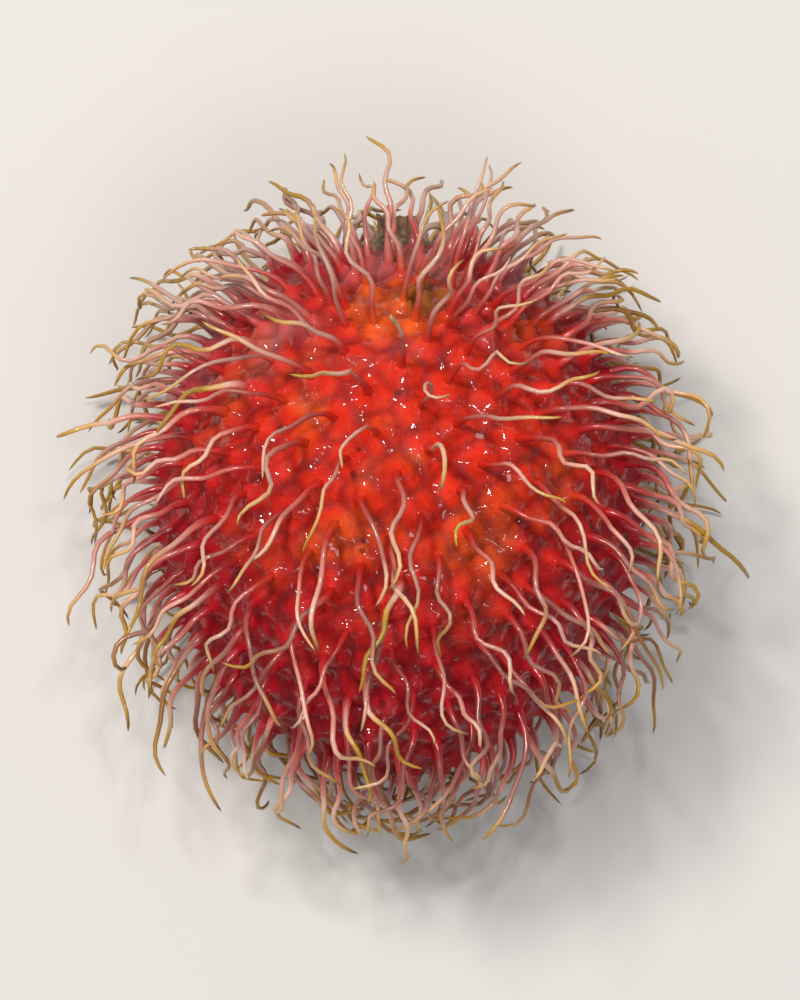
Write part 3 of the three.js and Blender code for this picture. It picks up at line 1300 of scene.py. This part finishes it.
    def lines(self, index: Array, direction: Array) -> Array:
        """Works out the centre lines of all spines, step by step from root to tip.

        Each step heads along the normal times the cosine of the lean plus the way times its sine, with the
        curl, the ripple and the hook added sideways and another ripple added to the lean. A spine with more
        ripples has lower ones. A step that would pass the table runs along it, and a point too near the peel
        is moved out from the fruit's centre. Last, each point is eased towards the middle of its neighbours.

        Args:
            index: The spines' numbers.
            direction: Directions of their roots from the centre.

        Returns:
            For each spine, its points from root to tip.
        """
        normal = self.shape.normals(direction)
        way, root, tip = self.lean(direction, normal)
        aside_turn = np.radians(self.aside_spread * scatter(index, Use.ASIDE))[:, None]
        way = way * np.cos(aside_turn) + np.cross(normal, way) * np.sin(aside_turn)
        aside = np.cross(normal, way)
        root = np.radians(root + self.lean_spread * scatter(index, Use.LEAN))
        tip = np.radians(tip + 2 * self.lean_spread * scatter(index, Use.LEAN))
        longest = self.length * (1 - self.end_shorter * direction[:, 1] ** 2)
        step = longest * (1 + self.length_spread * scatter(index, Use.LENGTH)) / self.steps
        curl, phase = self.curl * scatter(index, Use.CURL), math.pi * scatter(index, Use.PHASE)
        more = 1 + self.ripple_spread * scatter(index, Use.OFTEN)
        ripple = self.ripple * scatter(index, Use.RIPPLE) / more
        waved = self.ripple * scatter(index, Use.WAVE) / more
        often = 2 * math.pi * self.ripple_waves * more
        ripple_phase = math.pi * scatter(index, Use.RIPPLE_PHASE)
        wave_phase = math.pi * scatter(index, Use.WAVE_PHASE)
        hook = self.hook * scatter(index, Use.HOOK)
        line = [self.shape.surface(direction)]
        for at in range(self.steps):
            along = (at + 0.5) / self.steps
            loose = smooth(along, *self.loose)
            turned = often * along
            angle = root * min(1.0, along / self.root_share) + (tip - root) * along**self.bend_power
            angle = angle + loose * waved * np.sin(turned + wave_phase)
            swing = curl * along * np.sin(2 * math.pi * self.curl_waves * along + phase)
            swing = swing + loose * ripple * np.sin(self.ripple_aside * turned + ripple_phase)
            swing = swing + hook * smooth(along, *self.hooked)
            heading = normal * np.cos(angle)[:, None] + way * np.sin(angle)[:, None]
            heading = unit(heading + aside * swing[:, None])
            width = self.radius((at + 1) / self.steps)
            outward = line[-1] - self.shape.centre
            room = (line[-1][:, 2] - self.table_gap - width) / step
            heading = self.along_table(heading, outward, room)
            point = line[-1] + heading * step[:, None]
            if along > self.root_share:
                short = np.maximum(0.0, width + self.peel_gap - self.shape.height_over(point))
                point = point + unit(point - self.shape.centre) * short[:, None]
            line.append(point)
        lines = np.stack(line, axis=1)
        for _ in range(self.eased):
            lines[:, 1:-1] = (lines[:, :-2] + 2 * lines[:, 1:-1] + lines[:, 2:]) / 4
        return lines

    def along_table(self, heading: Array, outward: Array, room: Array) -> Array:
        """Turns headings that would pass the table in one step to run along it, away from the fruit.

        Args:
            heading: Unit headings.
            outward: Ways out from the fruit's centre.
            room: How far each may still go down, in steps.

        Returns:
            The headings, with the low ones level enough to stay above the table.
        """
        room = np.clip(room, 0.0, 1.0)
        level = heading + self.splay * unit(outward * LEVEL)
        flat = unit(level * LEVEL) * np.sqrt(1 - room**2)[:, None]
        flat[:, 2] = -room
        return np.where((heading[:, 2] < -room)[:, None], flat, heading)

    def tubes(self, index: Array, lines: Array) -> tuple[Array, tuple[Array, ...], Array]:
        """Carries a ring along each line, and closes the tubes at the root and at the tip.

        The ring's first spoke is carried along by taking out its part along each new heading, and the
        second is the cross product of heading and first.

        Args:
            index: The spines' numbers.
            lines: Their centre lines, from root to tip.

        Returns:
            The points, the faces, and each point's share of the way along its spine.
        """
        at = np.append(np.arange(0, self.steps, self.ring_step), [self.steps - 1, self.steps])
        along = at / self.steps
        centres = lines[:, at]
        heading = unit(np.gradient(centres, axis=1))
        girth = 1 + self.girth_spread * scatter(index, Use.GIRTH)
        radii = girth[:, None] * self.radius(along)[None]
        turn = turns(self.sides)[:, None]
        spoke = np.cross(heading[:, 0], ASKEW)
        rings = []
        for ring in range(len(at) - 1):
            spoke = unit(across(spoke, heading[:, ring]))
            second = np.cross(heading[:, ring], spoke)
            around = spoke[:, None] * np.cos(turn) + second[:, None] * np.sin(turn)
            rings.append(centres[:, ring, None] + around * radii[:, ring, None, None])
        rings[0] = rings[0] - self.root_depth * heading[:, :1]
        hubs = centres[:, :1] - self.hub_depth * heading[:, :1]
        spines = len(index)
        tubes = np.stack(rings, axis=1).reshape(spines, -1, 3)
        points = np.concatenate([tubes, hubs, centres[:, -1:]], axis=1)
        first = (np.arange(spines) * points.shape[1])[:, None, None]
        points = points.reshape(-1, 3)
        points[:, 2] = np.maximum(points[:, 2], self.table_gap)
        quads, fans = closed_tube(len(rings), self.sides)
        faces = (first + quads).reshape(-1, 4), (first + fans).reshape(-1, 3)
        share = np.concatenate([np.repeat(along[:-1], self.sides), [0.0, 1.0]])
        return points, faces, np.tile(share, spines)

    def build(self) -> bpy.types.Object:
        """Builds the spines, and works out what sets each point's colour.

        Returns:
            The piece.
        """
        index, direction = self.places.every()
        points, faces, along = self.tubes(index, self.lines(index, direction))
        each = len(points) // len(index)
        tint, point, dull = (
            np.repeat(scatter(index, use), each) for use in (Use.TINT, Use.POINT, Use.DULL)
        )
        values = {
            "age": self.finish.ages(points, along, tint),
            "point": self.finish.dried(along, point),
            "dull": self.finish.dullness(points, along, dull),
            "frost": self.haze.at(points) * self.finish.hazed(along),
        }
        material = self.finish.material(self.rind, self.shape)
        return piece("rambutan_spines", points, faces, values, material)


@dataclass
class StalkStub:
    """The broken end of the stalk, with the dried rim of the flower's leaves round its foot.

    Attributes:
        shape: The fruit.
        finish: What it is made of.
        radius: Of the stalk.
        length: How far it stands out of the peel.
        depth: How far it starts under the peel's end.
        collar_radius: Of the swollen foot.
        collar_top: Height from which the foot narrows.
        collar_fade: Height over which it then falls to about a third.
        lobes: Dried leaves round the foot.
        lobe_reach: How far they stand out.
        lobe_height: Height at which they do.
        lobe_fade: Height over which they fall to about a third.
        hollow: Depth of the dent in the broken end.
        ragged: Height of the splinters of the broken end.
        torn: Height over which the broken end sets in.
        gnarl_size: Distance between the splinters, and between the bark's uneven places.
        gnarl: Share by which the bark stands in and out.
        core: Squared shares of the radius between which the wood turns to bark.
        rings: Rings of points along the outside.
        cap_rings: Rings of points over the broken end.
        columns: Points in each ring.
    """

    shape: FruitShape
    finish: BarkFinish = field(default_factory=BarkFinish)
    radius: float = 1.65
    length: float = 2.4
    depth: float = 1.4
    collar_radius: float = 3.0
    collar_top: float = -0.2
    collar_fade: float = 0.75
    lobes: int = 5
    lobe_reach: float = 0.55
    lobe_height: float = 0.25
    lobe_fade: float = 0.3
    hollow: float = 0.35
    ragged: float = 0.14
    torn: float = 0.15
    gnarl_size: float = 0.9
    gnarl: float = 0.03
    core: Band = (0.5, 0.85)
    rings: int = 34
    cap_rings: int = 10
    columns: int = 72

    def grid(self) -> Array:
        """Works out the rings of the stub, before anything is broken off.

        The radius is the stalk's plus a bell curve at the foot, plus the lobes: the fourth power of a cosine
        round the stalk times a narrow bell curve of the height. Over the end it falls to 0 in even steps.

        Returns:
            The points, ring by ring, about the Y axis.
        """
        up = np.linspace(-self.depth, self.length, self.rings)
        height = np.concatenate([up, np.full(self.cap_rings, self.length)])[:, None]
        cap = np.linspace(1, 0, self.cap_rings + 2)[1:-1]
        inward = np.concatenate([np.ones(self.rings), cap])[:, None]
        turn = turns(self.columns)
        foot = bell(np.maximum(height - self.collar_top, 0.0), self.collar_fade)
        lobe = np.cos(turn * self.lobes / 2) ** 4 * bell(height - self.lobe_height, self.lobe_fade)
        radius = self.radius + (self.collar_radius - self.radius) * foot + self.lobe_reach * lobe
        radius = radius * inward
        height = np.broadcast_to(height, radius.shape)
        return np.stack([radius * np.cos(turn), height, radius * np.sin(turn)], axis=-1).reshape(-1, 3)

    def build(self) -> bpy.types.Object:
        """Builds the stub.

        The height of its broken end dips by a parabola, with splinters from a random field, and the same
        field makes the bark uneven. The rings go up as their points turn to the right, so each face is
        turned round.

        Returns:
            The piece.
        """
        grid = self.grid()
        gnarls = waves(grid, self.gnarl_size, Pattern.BARK)
        end = smooth(grid[:, 1], self.length - self.torn, self.length)
        inside = (np.hypot(grid[:, 0], grid[:, 2]) / self.radius) ** 2
        grid[:, 1] += end * (self.ragged * gnarls - self.hollow * (1 - inside))
        grid[:, [0, 2]] *= 1 + self.gnarl * gnarls[:, None]
        hubs = np.array([[0, -self.depth, 0], [0, self.length - self.hollow, 0]])
        points = np.concatenate([grid, hubs]) + self.shape.surface(np.array([0.0, 1.0, 0.0]))
        faces = tuple(group[:, ::-1] for group in closed_tube(self.rings + self.cap_rings, self.columns))
        core = np.concatenate([end * (1 - smooth(inside, *self.core)), [0.0, 1.0]])
        return piece("rambutan_stalk", points, faces, {"core": core}, self.finish.material())


@dataclass(frozen=True)
class PaperFinish:
    """Matt white paper sweep: it gives the eye an even pale ground.

    Attributes:
        paper: Its colour.
        cloud_size: Width of its faint cloudiness.
        rough: The least and the greatest roughness.
    """

    paper: str = "DFDDD9"
    cloud_size: float = 40.0
    rough: Band = (0.85, 0.95)

    def material(self) -> bpy.types.Material:
        """Builds the paper's material.

        Returns:
            The material.
        """
        made, tree = empty_material("matt_paper")
        place = add(tree, "TexCoord").outputs["Object"]
        cloud = add(tree, "TexNoise", {"Vector": place, "Scale": 1 / (self.cloud_size * METRES)})
        rough = add(tree, "MapRange", {
            "Value": cloud.outputs["Fac"], "To Min": self.rough[0], "To Max": self.rough[1],
        })
        paper = add(tree, "BsdfPrincipled", {"Base Color": linear(self.paper), "Roughness": rough.outputs[0]})
        add(tree, "OutputMaterial", {"Surface": paper.outputs["BSDF"]})
        return made


@dataclass(frozen=True)
class SoftBox:
    """A soft studio light.

    Attributes:
        name: What it does.
        place: Where it hangs, in metres.
        size: Width of its square face, in metres.
        watts: Its power.
        tone: Its colour.
    """

    name: str
    place: Triple
    size: float
    watts: float
    tone: str = "FFFFFF"

    def build(self, aim: Vector) -> None:
        """Hangs the light and turns it to a point.

        Args:
            aim: Where it points, in metres.
        """
        light = bpy.data.lights.new(self.name, "AREA")
        light.shape, light.size, light.energy = "SQUARE", self.size, self.watts
        light.color = linear(self.tone)[:3]
        lamp = bpy.data.objects.new(self.name, light)
        lamp.location = self.place
        lamp.rotation_euler = (aim - Vector(self.place)).to_track_quat("-Z", "Y").to_euler()
        bpy.context.scene.collection.objects.link(lamp)


@dataclass
class Studio:
    """The pale floor, the soft light and the camera, which looks straight down as the photograph does.

    Attributes:
        floor_width: Of the square floor, in metres.
        floor_drop: How far the floor lies under the fruit, in metres.
        lens: The camera's focal length.
        view_height: What the picture's height takes in at the fruit's middle, in metres.
        sky: Colour of the light from all round.
        sky_strength: Its strength.
        lights: The soft boxes.
    """

    floor_width: float = 6.0
    floor_drop: float = 0.00002
    lens: float = 300.0
    view_height: float = 0.080
    sky: str = "EEF1F6"
    sky_strength: float = 0.25
    lights: tuple[SoftBox, ...] = (
        SoftBox("key", (-0.28, 0.30, 0.76), 0.14, 4.6, "FFF8F0"),
        SoftBox("overhead", (0.14, -0.34, 0.90), 0.3, 1.6),
        SoftBox("glint", (0.06, 0.20, 0.72), 0.05, 1.3),
    )

    def lay_floor(self) -> None:
        """Lays the paper floor just under the fruit."""
        half = self.floor_width / 2
        corners = [(-half, -half), (half, -half), (half, half), (-half, half)]
        mesh = bpy.data.meshes.new("floor")
        mesh.from_pydata([(x, y, -self.floor_drop) for x, y in corners], [], [(0, 1, 2, 3)])
        mesh.materials.append(PaperFinish().material())
        floor = bpy.data.objects.new("floor", mesh)
        bpy.context.scene.collection.objects.link(floor)

    def light_up(self, aim: Vector) -> None:
        """Hangs the soft boxes and makes an even sky.

        Args:
            aim: Where the soft boxes point, in metres.
        """
        for light in self.lights:
            light.build(aim)
        world = bpy.data.worlds.new("studio_sky")
        world.use_nodes = True
        background = world.node_tree.nodes["Background"]
        background.inputs["Color"].default_value = linear(self.sky)
        background.inputs["Strength"].default_value = self.sky_strength
        bpy.context.scene.world = world

    def set_camera(self, aim: Vector) -> None:
        """Hangs the camera over a point, as far up as its lens needs for the view, with plain colours.

        Args:
            aim: What it looks down on, in metres.
        """
        camera = bpy.data.cameras.new("camera")
        camera.lens = self.lens
        holder = bpy.data.objects.new("camera", camera)
        holder.location = aim + Vector((0, 0, self.view_height * self.lens / camera.sensor_width))
        bpy.context.scene.collection.objects.link(holder)
        bpy.context.scene.camera = holder
        bpy.context.scene.view_settings.view_transform = "Standard"
        log.info("studio: camera %.0f mm above the floor", holder.location.z / METRES)

    def build(self) -> None:
        """Sets up the floor, the light and the camera round the middle of the fruit."""
        low, high = cad_box
        middle = (low + high) / 2
        self.lay_floor()
        self.light_up(middle)
        self.set_camera(middle)


def main() -> None:
    """Builds the fruit piece by piece, then the studio round it."""
    logging.basicConfig(level=logging.INFO, format="%(name)s %(message)s")
    shape = FruitShape()
    places = SpinePlaces(shape)
    rind = PeelFinish()
    haze = Haze()
    Peel(shape, places, rind, haze).build()
    Spines(shape, places, rind, haze).build()
    StalkStub(shape).build()
    Studio().build()


if __name__ == "__main__":
    main()
